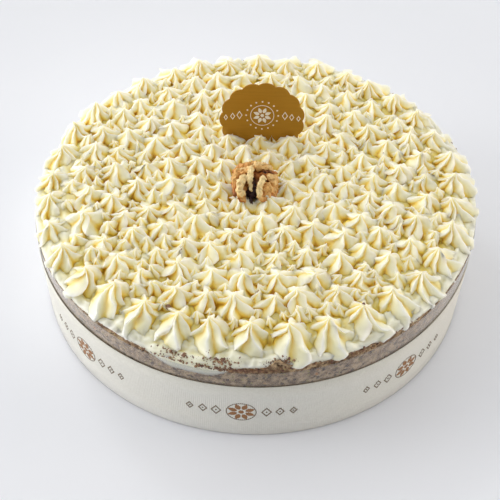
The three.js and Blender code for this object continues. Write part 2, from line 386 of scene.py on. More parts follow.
def roomRound(r, others, angles):  # how far r reaches at each angle before the half-way line to a neighbour
    far, grazing = 60.0, 0.02
    best = np.full(len(angles), far)
    for other in others:
        dx, dy = other["x"] - r["x"], other["y"] - r["y"]
        distance = math.hypot(dx, dy)
        if 0 < distance < far:
            along = np.cos(angles - math.atan2(dy, dx))
            half = distance / 2 / np.maximum(along, grazing)
            best = np.minimum(best, np.where(along > grazing, half, far))
    return best


piping = {
    "ridges": (5, 6, 6, 7), "rimRidges": (7, 8), "ridgeSamples": 12, "levels": 17,
    "belly": 13.2, "sunk": 3.0, "tall": 1.16, "crowding": 1.3,
    "dab": {"ridges": (4, 5), "ridgeSamples": 8, "levels": 11, "most": 230, "apart": 5.4,
            "trials": 9000, "reach": 112, "within": (100, 108, 109), "clear": 8.2, "tightest": -1.6},
    # shares of the belly's radius along a ridge and of that along a valley, from foot to tip
    "profile": [(0, 0.9), (0.12, 0.99), (0.28, 1.0), (0.42, 0.9), (0.55, 0.71), (0.67, 0.51), (0.78, 0.33),
                (0.88, 0.18), (0.95, 0.09), (1, 0.03)],
    "valley": [(0, 0.92), (0.12, 0.84), (0.28, 0.74), (0.42, 0.64), (0.55, 0.54), (0.75, 0.44),
               (0.89, 0.56), (1, 1)],
    "steep": 2.0, "gentle": 1.3, "rounding": 0.03, "bead": 0.05, "beadWidth": 0.12,
    "shift": 0.16, "twist": 0.3,  # how unevenly the ridges stand, and how far they turn on the way up
    # how far the ridges wander sideways: size, waves from foot to tip, where the waves start
    "bends": [(0.46, (0.8, 1.25), (-1.2, 1.2)), (0.14, (1.8, 2.6), (0, tau))],
}


def overRim(r, radius, angle, t, floorHeight):
    # a rim rosette is narrower, and its outer side leans out over the slope of the coat
    outward = math.atan2(r["y"], r["x"])
    facing = np.maximum(np.cos(angle - outward), 0) ** 1.5
    foot = rim["foot"] - rim["footIn"] * smooth(1.6 - abs(azimuthOf(outward) - smear["azimuth"]) / 18)
    reach = (foot - math.hypot(r["x"], r["y"])) / piping["belly"] / r["size"]
    radius = radius * (rim["narrow"] + (1.22 * reach - rim["narrow"]) * facing * np.sqrt(1 - t))
    below = coatHeight(r["x"] + radius * np.cos(angle), r["y"] + radius * np.sin(angle))
    return radius, (below - piping["sunk"] - floorHeight) * (1 - t) ** 1.3


def underKernel(points):  # cream gives way where the kernel sits
    seat = kernel["seat"]
    away = ((points[:, 0] - kernel["x"]) / seat["across"]) ** 2
    away += ((points[:, 1] - kernel["y"]) / seat["along"]) ** 2
    bowl = kernel["z"] + seat["above"] - seat["deep"] * np.sqrt(np.clip(1 - away, 0, 1))
    pressed = (away < 1) & (points[:, 2] > bowl)
    points[pressed, 2] = bowl[pressed] + seat["keeps"] * (points[pressed, 2] - bowl[pressed])
    return points


def pipeRosette(r, others):
    mould = piping["dab"] if "dab" in r else piping
    onRim = r["ring"] == 0
    ridges = int(rng.choice(piping["rimRidges"] if onRim else mould["ridges"]))
    samples, levels = mould["ridgeSamples"], mould["levels"]
    columns = ridges * samples
    t = np.linspace(0, 1, levels)[:, None] ** 0.92  # share of the height
    k = np.arange(columns) // samples
    v = (np.arange(columns) % samples) / samples
    u = 0.5 * v + 0.25 * (1 - np.cos(math.pi * v))  # share of the way to the next ridge, closest near ridges

    def each(low, high):  # a draw for each ridge, run smoothly from ridge to ridge
        drawn = rng.uniform(low, high, ridges)
        drawn = np.append(drawn, drawn[0])
        return drawn[k] * (1 - u) + drawn[k + 1] * u

    shift = rng.uniform(-piping["shift"], piping["shift"], ridges)
    ridgeAngle = r["turn"] + tau * (np.arange(ridges) + shift) / ridges
    ridgeAngle = np.append(ridgeAngle, ridgeAngle[0] + tau)
    angle = ridgeAngle[k] + u * (ridgeAngle[k + 1] - ridgeAngle[k])
    twist, bend = rng.normal(0, piping["twist"]), 0
    for size, waves, start in piping["bends"]:
        bend = bend + each(-size, size) * np.sin(tau * rng.uniform(*waves) * t + each(*start))
    bend = bend * min(1, 6 / ridges) ** 1.6  # ribs that stand close bend less, so that they don't cross
    angle = angle + twist * (t - 0.25) + bend * (0.5 + 0.9 * t)

    low = np.clip(rng.uniform(0.16, 0.34, ridges) + rng.uniform(-0.04, 0.1), 0.14, 0.5)[k]
    fold = np.where(u < low, u / low, (1 - u) / (1 - low))  # 0 on a ridge, 1 in the valley
    e = piping["rounding"]
    fold = (np.sqrt(fold ** 2 + e * e) - e) / (math.sqrt(1 + e * e) - e)
    crest = (1 - fold) ** np.where(u < low, piping["steep"], piping["gentle"])
    bead = np.exp(-(fold / piping["beadWidth"]) ** 2)  # the thin rib that a nozzle's tooth leaves
    plain = piping["belly"] * r["size"] * curveThrough(piping["profile"], t)
    valley = curveThrough(piping["valley"], t) * (1 + (1 - t) * each(-0.14, 0.1))
    ridge = each(0.88, 1.16) * (1 + each(-0.12, 0.12) * np.sin(8 * t + each(0, 3)))
    radius = plain * (valley + (ridge - valley) * crest) * (
        1 + 0.05 * crest * np.sin(17 * t + each(0, tau)) + piping["bead"] * bead * t)

    # a neighbour's cream holds the foot in
    room = roomRound(r, others, angle.ravel()).reshape(angle.shape) * piping["crowding"]
    radius = radius / (1 + (radius / room) ** 5) ** 0.2

    floorHeight = coatHeight(r["x"], r["y"]) - piping["sunk"]
    lift = np.zeros_like(radius)
    if onRim:
        radius, lift = overRim(r, radius, angle, t, floorHeight)
    tall = r["height"] * piping["tall"] + piping["sunk"]
    hook, hooked = rng.uniform(0, tau), 0.5 + 1.3 * rng.random() ** 2  # the tip's little tail
    leanX = 1.5 * r["lean"] * math.cos(r["leanAngle"]) * t ** 2 + hooked * math.cos(hook) * t ** 7
    leanY = 1.5 * r["lean"] * math.sin(r["leanAngle"]) * t ** 2 + hooked * math.sin(hook) * t ** 7
    x = r["x"] + leanX + radius * np.cos(angle)
    y = r["y"] + leanY + radius * np.sin(angle)
    held = np.minimum(1, rim["edge"] / np.hypot(x, y))  # nothing passes the edge of the cake
    x, y = x * held, y * held
    z = floorHeight + tall * t + lift
    rings = np.stack([x, y, z], -1)
    points, faces = closedSkin(rings, rings[0].mean(0), rings[-1].mean(0) + (0, 0, 0.25))
    # painted shade for the colour: it deepens from the crest down into each valley, more on the rim, and the
    # thin bead along each rib stays lighter as a painted highlight
    depth = 0.3 * (1 - bead) + 0.7 * (1 - crest) ** (2.2 if onRim else 4)
    return underKernel(points), faces, {"depth": np.append(np.tile(depth, levels), (1, 0))}


def blurred(grid, reach):  # soft mean over a distance of about reach cells
    steps = np.arange(-3 * reach, 3 * reach + 1)
    weights = np.exp(-0.5 * (steps / reach) ** 2)
    for axis in (0, 1):
        grid = np.apply_along_axis(lambda row: np.convolve(row, weights / weights.sum(), "same"), axis, grid)
    return grid


def storeHollows(pieces, reach, cell, fades=()):
    # how far each point lies below the mean height round it; a fade takes its share of that off from a
    # radius outwards, over so many millimetres
    places = [coordinates(piece) / mm for piece in pieces]
    together = np.concatenate(places)
    corner = together[:, :2].min(0) - 3 * reach
    spots = [((place[:, :2] - corner) / cell).astype(int) for place in places]
    heights = np.full(np.concatenate(spots).max(0) + 1 + int(3 * reach / cell), -1.0)
    for spot, place in zip(spots, places):
        np.maximum.at(heights, (spot[:, 0], spot[:, 1]), place[:, 2])
    known = heights > 0.9 * together[:, 2].max() - 12  # the top, not the walls
    cells = int(reach / cell)
    mean = blurred(np.where(known, heights, 0), cells) / np.maximum(blurred(1.0 * known, cells), 1e-3)
    for piece, spot, place in zip(pieces, spots, places):
        below = mean[spot[:, 0], spot[:, 1]] - place[:, 2]
        fromMiddle = np.hypot(place[:, 0], place[:, 1])
        storeValues(piece, "hollow", below * (1 - sum(
            share * smooth((fromMiddle - start) / width) for share, start, width in fades)))


def roughen(piece, waves):  # bend the skin by soft noise: waves a millimetre, and millimetres
    places = coordinates(piece)
    points = (places / mm).tolist()
    for wave, height in waves:
        moved = [noise.noise_vector(Vector(p) * wave) for p in points]
        places += np.array(moved, "f") * height * mm
    piece.data.vertices.foreach_set("co", places.ravel())
    piece.data.update()


def gapPlaces():  # where the rosettes leave room, the widest gaps first
    gap = piping["dab"]
    places = rng.uniform(-gap["reach"], gap["reach"], (gap["trials"], 2))
    places = places[np.hypot(places[:, 0], places[:, 1]) < rng.choice(gap["within"], len(places))]
    free = np.full(len(places), 99.0)
    for r in rosettes:
        distance = np.hypot(places[:, 0] - r["x"], places[:, 1] - r["y"])
        free = np.minimum(free, distance - gap["clear"] * r["size"])
    chosen = []
    for _ in range(gap["most"]):
        best = int(np.argmax(free))
        if free[best] < gap["tightest"]:
            break
        chosen.append(places[best])
        free = np.minimum(free, np.hypot(*(places - places[best]).T) - gap["apart"])
    return chosen


def dab(x, y):  # a small tail of cream left between the rosettes
    size = rng.uniform(0.3, 0.56)
    return {"x": x, "y": y, "size": size, "height": 4.4 + 5.6 * size * rng.uniform(0.7, 1.3),
            "turn": rng.uniform(0, tau), "leanAngle": rng.uniform(0, tau), "lean": rng.uniform(0.6, 2.4),
            "dab": True}


rosettes = layRosettes()
bands = {"frosting_rim": [0], "frosting_outer": [1], "frosting_second": [2], "frosting_middle": [3, 4],
         "frosting_inner": [5, 6, 7]}
piped = {ring: [] for ring in range(len(field["rows"]) + 1)}
for rosette in rosettes:
    piped[rosette["ring"]].append(pipeRosette(rosette, rosettes))
for x, y in gapPlaces():
    extra = dab(x, y)
    extra["ring"] = max(1, min(rosettes, key=lambda r: math.hypot(r["x"] - x, r["y"] - y))["ring"])
    piped[extra["ring"]].append(pipeRosette(extra, []))
creamPieces = [fuse(name, sum((piped[ring] for ring in rings), [])) for name, rings in bands.items()]
for piece in creamPieces:
    roughen(piece, ((0.2, 0.8), (0.5, 0.4)))
print("rosettes:", len(rosettes), "faces:", sum(len(p.data.polygons) for p in creamPieces))

# the smooth coat under the rosettes, its lower edge hanging a little over the sponge
coat = {
    "around": 840, "step": 2.5, "shoulder": 110, "shoulderStep": 1.1, "depth": 0.3,
    "underside": cake["spongeTop"] + 0.35, "lumps": 1.2, "mound": 2.8, "mounded": 7.0,
    "ragged": 1.0, "edgeWaves": [(38, 1, 0.3), (110, 0.6, 4.0)],
    "swept": 1.5, "sweeps": [(9, 1, 0.42), (32, 0.7, 0.9), (70, 0.4, 0.5)],
    "side": [(0.12, 128.1), (0.35, 128.75), (0.75, 128.75), (0.96, 128.6)],  # share of the way down, radius
    "retreat": 1.9,  # how far it draws back behind the peak of crumb
}


def mounds(x, y):  # cream that swells up round the foot of each rosette
    best = np.zeros(x.shape)
    for r in rosettes:
        best = np.maximum(best, np.exp(-0.5 * ((x - r["x"]) ** 2 + (y - r["y"]) ** 2) / coat["mounded"] ** 2))
    return coat["mound"] * best


def coatShape():
    angle = tau * np.arange(coat["around"]) / coat["around"]
    ragged, retreat = noiseRound(angle, coat["edgeWaves"]), coat["retreat"] * peakShare(angle)
    edge = creamLine(angle) - 0.3 + coat["ragged"] * ragged
    rings = []
    for radius in np.append(np.arange(coat["step"], coat["shoulder"], coat["step"]),
                            np.arange(coat["shoulder"], 127.5, coat["shoulderStep"])):
        x, y = radius * np.cos(angle), radius * np.sin(angle)
        top = coatHeight(x, y) + coat["lumps"] * noiseAt(0.16 * x, 0.16 * y, 2.0)
        if radius > coat["shoulder"]:  # left by the spatula that went round the edge
            share = coat["swept"] * smooth((radius - coat["shoulder"]) / 6) * smooth((130 - radius) / 3)
            top = top + share * noiseRound(angle, [(w, s, rise * radius) for w, s, rise in coat["sweeps"]])
        top = top + mounds(x, y)
        rings.append(circle(radius, angle, top))
    for share, radius in coat["side"]:
        rings.append(circle(radius + 0.1 * ragged - retreat, angle, top + share * (edge - top)))
    rings.append(circle(127.6 - retreat, angle, edge + 0.1))
    rings.append(circle(cake["plateau"], angle, coat["underside"]))
    points, faces = closedSkin(rings[::-1], (0, 0, coat["underside"]), (0, 0, coatHeight(0.0, 0.0)))
    # the whole coat takes a little painted shade in its colour, so its cream stays warm where it lies in
    # shadow
    return points, faces, {"depth": np.full(len(points), coat["depth"])}


creamPieces.append(meshObject("frosting_coat", *coatShape()))
# how far the cream sinks below its surroundings sets its painted shade; the fades take that off towards the
# rim, all of it at the very edge
storeHollows(creamPieces, 4.0, 1.0, [(0.4, 114, 9), (0.6, 125, 3)])
print("coat")

# the cream's colours from crest to pits, set by painted shade: near white on the crests, yellow down the
# folds and dark gold in the deepest places
creamFinish = {"crest": "#fcf8ec", "side": "#f9f0cc", "deep": "#f4d85c", "pit": "#cc981e", "roughness": 0.42,
               "soaks": 4.5, "clouds": 6.25, "grain": 0.667}


def pipedCream(tree):
    # Cream cheese keeps the nozzle's ribs and has a satin face. Light soaks a few millimetres in, so shadows
    # stay soft. Its colour holds painted shade: near white on the crests, butter yellow down the folds and in
    # hollow places, dark gold in the deepest.
    finish = creamFinish
    place = addNode(tree, "ShaderNodeTexCoord").outputs["Object"]
    valleyShade = addNode(tree, "ShaderNodeAttribute", {"attribute_name": "depth"})
    hollowShade = addNode(tree, "ShaderNodeAttribute", {"attribute_name": "hollow"})
    clouds = addNode(tree, "ShaderNodeTexNoise", {"Scale": perMetre(finish["clouds"]), "Detail": 3},
                     {"Vector": place})
    # painted shade: the colour deepens with how far down a valley a point lies and how far it sinks below the
    # cream round it
    sunkenShade = addNode(tree, "ShaderNodeMapRange", {1: 0.2, 2: 5.3}, {0: hollowShade.outputs["Fac"]})
    deepShade = addNode(tree, "ShaderNodeMath", {"operation": "MULTIPLY_ADD", 1: 0.55},
                     {0: valleyShade.outputs["Fac"], 2: sunkenShade.outputs[0]})
    shade = addNode(tree, "ShaderNodeMath", {"operation": "MULTIPLY_ADD", 1: 0.14},
                    {0: clouds.outputs[0], 2: deepShade.outputs[0]})
    stops = list(zip((0.06, 0.36, 0.74, 0.97), (finish[key] for key in ("crest", "side", "deep", "pit"))))
    tint = addNode(tree, "ShaderNodeValToRGB", {"stops": stops}, {0: shade.outputs[0]})
    # the cheese's own grain is about 0.1 mm, too fine to show, so it is drawn coarser
    grain = addNode(tree, "ShaderNodeTexNoise", {"Scale": perMetre(finish["grain"]), "Detail": 2},
                    {"Vector": place})
    bump = addNode(tree, "ShaderNodeBump", {"Strength": 0.12, "Distance": 0.2 * mm},
                   {"Height": grain.outputs[0]})
    return addNode(tree, "ShaderNodeBsdfPrincipled", {
        "Roughness": finish["roughness"], "Subsurface Weight": 1.0, "Subsurface Radius": (1.0, 1.0, 1.0),
        "Subsurface Scale": finish["soaks"] * mm,
    }, {"Base Color": tint.outputs[0], "Normal": bump.outputs[0]})


creamCheese = newMaterial("cream cheese frosting, piped, satin and a little translucent", pipedCream)
for piece in creamPieces:
    piece.data.set_sharp_from_angle(angle=math.radians(75))
    dress(piece, creamCheese, "frosting", "frosting")

sponge = {
    "around": 1120, "rows": 30, "from": 42, "below": [(0, 0.5), (0.6, 0), (21, 0)],  # height, how far in
    "pits": 1.4, "edge": 0.7, "edgeWaves": [(70, 1, 7.0), (190, 0.8, 1.0)],
}


def spongeShape():
    angle = tau * np.arange(sponge["around"]) / sponge["around"]
    edge, radius = noiseRound(angle, sponge["edgeWaves"]), cake["spongeRadius"]
    top = creamLine(angle) + 0.1 + sponge["edge"] * edge + peak["height"] * peakShare(angle)
    rings = [circle(radius - inward, angle, z) for z, inward in sponge["below"]]
    none = np.zeros(sponge["around"])
    pits = [none] * len(rings)
    x, y = radius * np.cos(angle), radius * np.sin(angle)
    for row in range(sponge["rows"]):
        z = sponge["from"] + (top - sponge["from"]) * row / (sponge["rows"] - 1)
        coarse = noiseAt(0.42 * x, 0.42 * y, 0.5 * z)
        fine = noiseAt(1.1 * x, 1.1 * y, 1.1 * z + 9)
        # how far each place sinks in, which also darkens its colour as painted shade
        pits.append(np.clip(0.9 * coarse + 0.8 * fine - 0.12, 0, 1))
        inward = 0.25 * (row == sponge["rows"] - 1) + 0.5 * peakShare(angle) * smooth((z - 60) / 4)
        rings.append(circle(radius - sponge["pits"] * pits[-1] - inward, angle, z))
    rings.append(circle(125.0, angle, (top + cake["spongeTop"]) / 2))
    rings.append(circle(cake["plateau"], angle, cake["spongeTop"]))
    points, faces = closedSkin(rings, (0, 0, 0), (0, 0, cake["spongeTop"]))
    return points, faces, {"pit": np.concatenate([*pits, none, none, (0, 0)])}


spongeFinish = {
    "crumb": "#cbae88", "damp": "#7c6046", "pit": "#4a3424", "mottle": 3.846, "grit": 0.714,
    # spice, carrot and raisin: colour, millimetres from one to the next, share that is there, seed
    "flecks": [("#b3a063", 2.381, 0.19, 0), ("#c4823e", 3.3333, 0.1, 3), ("#4f3526", 3.0303, 0.26, 7)],
}


def bakedSponge(tree):
    # Sponge that was baked and pressed flat is matt all over. Its open pits are darkened by painted shade,
    # and spice, carrot and raisin show in it as specks a few millimetres apart.
    finish = spongeFinish
    place = addNode(tree, "ShaderNodeTexCoord").outputs["Object"]
    mottle = addNode(tree, "ShaderNodeTexNoise", {
        "Scale": perMetre(finish["mottle"]), "Detail": 5, "Roughness": 0.65}, {"Vector": place})
    base = addNode(tree, "ShaderNodeValToRGB", {"stops": [(0.4, finish["damp"]), (0.6, finish["crumb"])]},
                   {0: mottle.outputs[0]})
    colour = base.outputs[0]
    for fleckColour, apart, common, seed in finish["flecks"]:
        offset = addNode(tree, "ShaderNodeMapping", {"Location": (seed, seed, seed)}, {"Vector": place})
        cells = addNode(tree, "ShaderNodeTexVoronoi", {"Scale": perMetre(apart), "Randomness": 1},
                        {"Vector": offset.outputs[0]})
        drawn = addNode(tree, "ShaderNodeSeparateColor", links={0: cells.outputs["Color"]})
        chosen = addNode(tree, "ShaderNodeMath", {"operation": "LESS_THAN", 1: common}, {0: drawn.outputs[0]})
        middle = addNode(tree, "ShaderNodeMapRange", {1: 0.42, 2: 0.22}, {0: cells.outputs["Distance"]})
        fleck = addNode(tree, "ShaderNodeMath", {"operation": "MULTIPLY"},
                        {0: chosen.outputs[0], 1: middle.outputs[0]})
        mixed = addNode(tree, "ShaderNodeMix", {"data_type": "RGBA", 7: linear(fleckColour)},
                        {0: fleck.outputs[0], 6: colour})
        colour = mixed.outputs[2]
    # painted shade: the colour turns dark where the side's pits sink in
    pit = addNode(tree, "ShaderNodeAttribute", {"attribute_name": "pit"})
    pitShadeShare = addNode(tree, "ShaderNodeMapRange", {1: 0.05, 2: 0.5}, {0: pit.outputs["Fac"]})
    pitShaded = addNode(tree, "ShaderNodeMix", {"data_type": "RGBA", 7: linear(finish["pit"])},
                     {0: pitShadeShare.outputs[0], 6: colour})
    # the finest crumb is about 0.3 mm, too fine to show, so it is drawn coarser
    grit = addNode(tree, "ShaderNodeTexNoise", {"Scale": perMetre(finish["grit"]), "Detail": 3},
                   {"Vector": place})
    bump = addNode(tree, "ShaderNodeBump", {"Strength": 0.6, "Distance": 0.4 * mm},
                   {"Height": grit.outputs[0]})
    return addNode(tree, "ShaderNodeBsdfPrincipled", {"Roughness": 0.85},
                   {"Base Color": pitShaded.outputs[2], "Normal": bump.outputs[0]})


spongePiece = meshObject("sponge_cake", *spongeShape())
carrotSponge = newMaterial("carrot sponge, baked and pressed flat, matt and speckled", bakedSponge)
dress(spongePiece, carrotSponge, "sponge", "sponge")
print("sponge:", len(spongePiece.data.polygons))


def wrappedBand(band, count, rows, topAt, radiusAt):
    # an open band round the cake whose two ends lap over each other at the seam
    share = np.linspace(0, 1, count)
    angle = angleOf(band["seam"]) - share * math.radians(360 + band["overlap"])
    onTop = (share - 1 + 1.6 * band["overlap"] / 360) / (0.6 * band["overlap"] / 360)
    lap = smooth(onTop) * band["thickness"] * 1.15
    loops = []
    outside = [(v, 0) for v in np.linspace(0, 1, rows)]
    for v, inward in outside + [(1, band["thickness"]), (0, band["thickness"])]:
        z = band["bottom"] + (topAt(angle) - band["bottom"]) * v
        loops.append(circle(radiusAt(angle, z) + lap - inward, angle, z))
    faces = []
    for row in range(len(loops)):
        below, above = row * count, ((row + 1) % len(loops)) * count
        faces += [(below + c + 1, below + c, above + c, above + c + 1) for c in range(count - 1)]
    first = [row * count for row in range(len(loops))]
    faces += [tuple(first), tuple(i + count - 1 for i in reversed(first))]
    return np.concatenate(loops), faces


film = {
    "outer": 129.2, "thickness": 0.3, "bottom": 0.8, "top": 57.5, "around": 720, "overlap": 4.5, "seam": 176,
    "rises": [(4.8, 65, 35), (2.2, -48, 13)],  # where it reaches higher: millimetres, azimuth, degrees wide
    "clear": "#f7f8fa", "shine": "#f6eee5", "roughness": 0.1,
}


def filmTop(angle):  # higher where the cream is higher too
    rise = sum(height * np.exp(-((azimuthOf(angle) - at) / wide) ** 2) for height, at, wide in film["rises"])
    return film["top"] + rise + 0.15 * np.sin(3 * angle)


def castAcetate(tree):
    # Cast acetate is clear and very smooth. It is seen by what it mirrors, faintly from straight on and
    # strongly at a grazing angle, so the two sides of the cake look silvery.
    facing = addNode(tree, "ShaderNodeLayerWeight", {"Blend": 0.5})
    grazing = addNode(tree, "ShaderNodeMath", {"operation": "POWER", 1: 3.5}, {0: facing.outputs["Facing"]})
    shine = addNode(tree, "ShaderNodeMath", {"operation": "MULTIPLY_ADD", 1: 0.96, 2: 0.02},
                    {0: grazing.outputs[0]})
    clear = addNode(tree, "ShaderNodeBsdfTransparent", {"Color": linear(film["clear"])})
    gloss = addNode(tree, "ShaderNodeBsdfPrincipled", {
        "Base Color": linear(film["shine"]), "Metallic": 1.0, "Roughness": film["roughness"]})
    return addNode(tree, "ShaderNodeMixShader", links={
        0: shine.outputs[0], 1: clear.outputs[0], 2: gloss.outputs[0]})


clearAcetate = newMaterial("clear acetate film, cast and glossy, seen by its reflections", castAcetate)
filmPiece = meshObject("acetate_collar", *wrappedBand(
    film, film["around"], 3, filmTop, lambda angle, z: film["outer"]))
filmPiece.data.set_sharp_from_angle(angle=math.radians(40))
dress(filmPiece, clearAcetate, "clear_film", "clear_collar")
print("collar")

ribbon = {
    "outer": 130, "thickness": 0.5, "bottom": 0.8, "top": 46, "overlap": 7, "seam": -161,
    "pitch": 1.08, "relief": 0.24, "samples": 6, "selvedge": 0.8,
    "warp": "#e6e4dc", "weft": "#edebe4", "roughness": 0.62, "threads": 1.111,
}
ribCount = round(tau * ribbon["outer"] / ribbon["pitch"])


def ribbonFace(angle):  # the tops of the ribs, on cloth that lies a little slack
    return ribbon["outer"] + 0.12 * np.sin(2 * angle + 0.6) + 0.08 * np.sin(5 * angle) - 0.2


def ribbonRadius(angle, z):  # woven ribs that run up and down, fading at the two selvedges
    fromEdge = np.minimum(z - ribbon["bottom"], ribbon["top"] - z)
    rib = 1 - np.abs(np.sin(0.5 * ribCount * angle)) ** 1.5
    return ribbonFace(angle) - ribbon["relief"] * rib * smooth(fromEdge / ribbon["selvedge"])


def wovenCloth(tree):
    # Grosgrain is woven with thick ribs. It is matt in the dips with a soft sheen at a grazing angle, and
    # its threads, about 0.3 mm apart, are drawn coarser to show.
    place = addNode(tree, "ShaderNodeTexCoord").outputs["Object"]
    threads = addNode(tree, "ShaderNodeTexNoise", {"Scale": perMetre(ribbon["threads"]), "Detail": 2},
                      {"Vector": place})
    tint = addNode(tree, "ShaderNodeValToRGB", {"stops": [(0.3, ribbon["warp"]), (0.7, ribbon["weft"])]},
                   {0: threads.outputs[0]})
    bump = addNode(tree, "ShaderNodeBump", {"Strength": 0.15, "Distance": 0.1 * mm},
                   {"Height": threads.outputs[0]})
    return addNode(tree, "ShaderNodeBsdfPrincipled", {
        "Roughness": ribbon["roughness"], "Sheen Weight": 0.25, "Sheen Roughness": 0.4,
    }, {"Base Color": tint.outputs[0], "Normal": bump.outputs[0]})


def ribbonTop(angle):
    return ribbon["top"] + 0.2 * np.sin(2 * angle + 1) + 0.12 * np.sin(7 * angle)


wovenRibbon = newMaterial("grosgrain ribbon, woven with thick ribs, off-white with a soft sheen", wovenCloth)
ribbonPiece = meshObject("ribbed_ribbon", *wrappedBand(
    ribbon, ribCount * ribbon["samples"] + 1, 5, ribbonTop, ribbonRadius))
dress(ribbonPiece, wovenRibbon, "ribbon", "ribbon")

# prints are thin plates: how deep they reach into what carries them, how far they stand proud of it
printing = {"sunk": 0.45, "proud": 0.03, "roughness": 0.5, "wear": 1.43}
# a frieze on the ribbon: a bronze flower between chains of lozenges
frieze = {
    "pitch": 98, "first": -299, "count": 8, "height": 23, "bloom": 15, "ring": (8.2, 7.7), "line": (1.5, 2.2),
    "lozenges": (8.5, 7.5, 6.5), "slim": 0.68, "chain": (13.5, 7.2), "dot": 0.5,
    "bronze": ("#a3703a", "#8b5c2c"), "grey": ("#7d6a50", "#675540"),
}


def leaf(x, z, turn, length, width, steps=9):  # pointed leaf from (x, z)
    s = np.linspace(0, 1, steps)
    half = 0.5 * width * np.sin(math.pi * s ** 0.8)
    along, across = np.concatenate([s, s[-2:0:-1]]) * length, np.concatenate([half, -half[-2:0:-1]])
    c, d = math.cos(turn), math.sin(turn)
    points = np.stack([x + along * c - across * d, z + along * d + across * c], 1)
    count = len(points)
    faces = [(0, 1, count - 1)]
    faces += [(k, k + 1, count - k - 1, count - k) for k in range(1, steps - 2)]
    faces += [(steps - 2, steps - 1, steps)]
    return points, faces


def loopStroke(outer, inner):  # closed stroke between two outlines of as many points
    count = len(outer)
    faces = [(k, (k + 1) % count, count + (k + 1) % count, count + k) for k in range(count)]
    return np.vstack([outer, inner]), faces


def ringOutline(x, z, radius, steps=20):
    a = tau * np.arange(steps) / steps
    return np.stack([x + radius * np.cos(a), z + radius * np.sin(a)], 1)


def lozengeOutline(x, z, width, height, steps=3):
    corners = np.array([(width / 2, 0), (0, height / 2), (-width / 2, 0), (0, -height / 2), (width / 2, 0)])
    walk = np.concatenate([np.linspace(corners[k], corners[k + 1], steps, endpoint=False) for k in range(4)])
    return walk + (x, z)


def disc(x, z, radius, steps=12):
    ring = ringOutline(x, z, radius, steps)
    return np.vstack([ring, (x, z)]), [(k, (k + 1) % steps, steps) for k in range(steps)]


def hoop(x, z, outer, inner, steps):
    return loopStroke(ringOutline(x, z, outer, steps), ringOutline(x, z, inner, steps))


def lozenge(x, z, size, slim, line):  # line is what the stroke takes off its width and height
    return loopStroke(lozengeOutline(x, z, slim * size, size),
                      lozengeOutline(x, z, slim * size - line[0], size - line[1]))


def raised(flat, place, depth):  # a closed plate from a flat shape: place(points, lift) puts it in space
    points, faces = flat
    count = len(points)
    edges = {}
    for face in faces:
        for a, b in zip(face, face[1:] + face[:1]):
            edges[(a, b)] = True
    walls = [(b, a, a + count, b + count) for a, b in edges if (b, a) not in edges]
    under = [tuple(i + count for i in reversed(face)) for face in faces]
    return np.vstack([place(points, 0), place(points, -depth)]), list(faces) + under + walls


def onRibbon(points, lift):
    angle = angleOf(0) + points[:, 0] / ribbon["outer"]
    return circle(ribbonFace(angle) + printing["proud"] + lift, angle, points[:, 1])


def flower(x, z, size, petals=8):
    shapes = [leaf(x + 0.16 * size * math.cos(a), z + 0.16 * size * math.sin(a), a, 0.36 * size, 0.2 * size)
              for a in tau * (np.arange(petals) + 0.5) / petals]
    return shapes + [disc(x, z, 0.1 * size)]


def printPiece(name, shapes, place, colours, note, slot):
    def ink(tree):  # printed ink is flat and a little worn, so its colour wanders between two near ones
        spots = addNode(tree, "ShaderNodeTexCoord").outputs["Object"]
        wear = addNode(tree, "ShaderNodeTexNoise", {"Scale": perMetre(printing["wear"]), "Detail": 2},
                       {"Vector": spots})
        tone = addNode(tree, "ShaderNodeMix", {
            "data_type": "RGBA", 6: linear(colours[0]), 7: linear(colours[1])}, {0: wear.outputs[0]})
        return addNode(tree, "ShaderNodeBsdfPrincipled", {"Roughness": printing["roughness"]},
                       {"Base Color": tone.outputs[2]})

    piece = meshObject(name, *join([raised(shape, place, printing["sunk"]) for shape in shapes]))
    piece.data.shade_flat()
    dress(piece, newMaterial(note, ink), slot)
    return piece


blooms, chains = [], []
for k in range(frieze["count"]):
    middle, height = frieze["first"] + k * frieze["pitch"], frieze["height"]
    blooms += flower(middle, height, frieze["bloom"])
    chains.append(hoop(middle, height, *frieze["ring"], 32))
    for side in (-1, 1):
        for step, size in enumerate(frieze["lozenges"]):
            x = middle + side * (frieze["chain"][0] + frieze["chain"][1] * step)
            chains.append(lozenge(x, height, size, frieze["slim"], frieze["line"]))
            chains.append(disc(x, height, frieze["dot"]))
bloomPiece = printPiece("ribbon_blooms", blooms, onRibbon, frieze["bronze"],
                        "bronze ink, printed on the ribbon, satin", "ribbon")
chainPiece = printPiece("ribbon_lozenges", chains, onRibbon, frieze["grey"],
                        "grey-brown ink, printed on the ribbon, matt", "ribbon")
print("ribbon")

plaque = {
    "x": 3.1, "y": 36.5, "bottom": 58.3, "radius": 25.7, "thickness": 0.8, "lean": 6, "scallops": 15,
    "scallopDepth": 1.5, "samples": 14, "bevel": 0.12, "flat": 0.7,
    "gold": ("#ab7a10", "#b38116"), "ink": ("#fffaf0", "#f3e9da"), "roughness": 0.42,
    "brushed": (16.667, 16.667, 0.667),  # millimetres from one stroke to the next, along x, y and z
}


def onPlaque(points, lift):  # points across and up the card, lift towards the front
    lean = math.radians(plaque["lean"])
    up = points[:, 1]
    out = plaque["thickness"] / 2 + lift
    y = plaque["y"] + up * math.sin(lean) - out * math.cos(lean)
    z = plaque["bottom"] + plaque["radius"] * math.cos(lean) + up * math.cos(lean) + out * math.sin(lean)
    return np.stack([plaque["x"] + points[:, 0], y, z], 1)


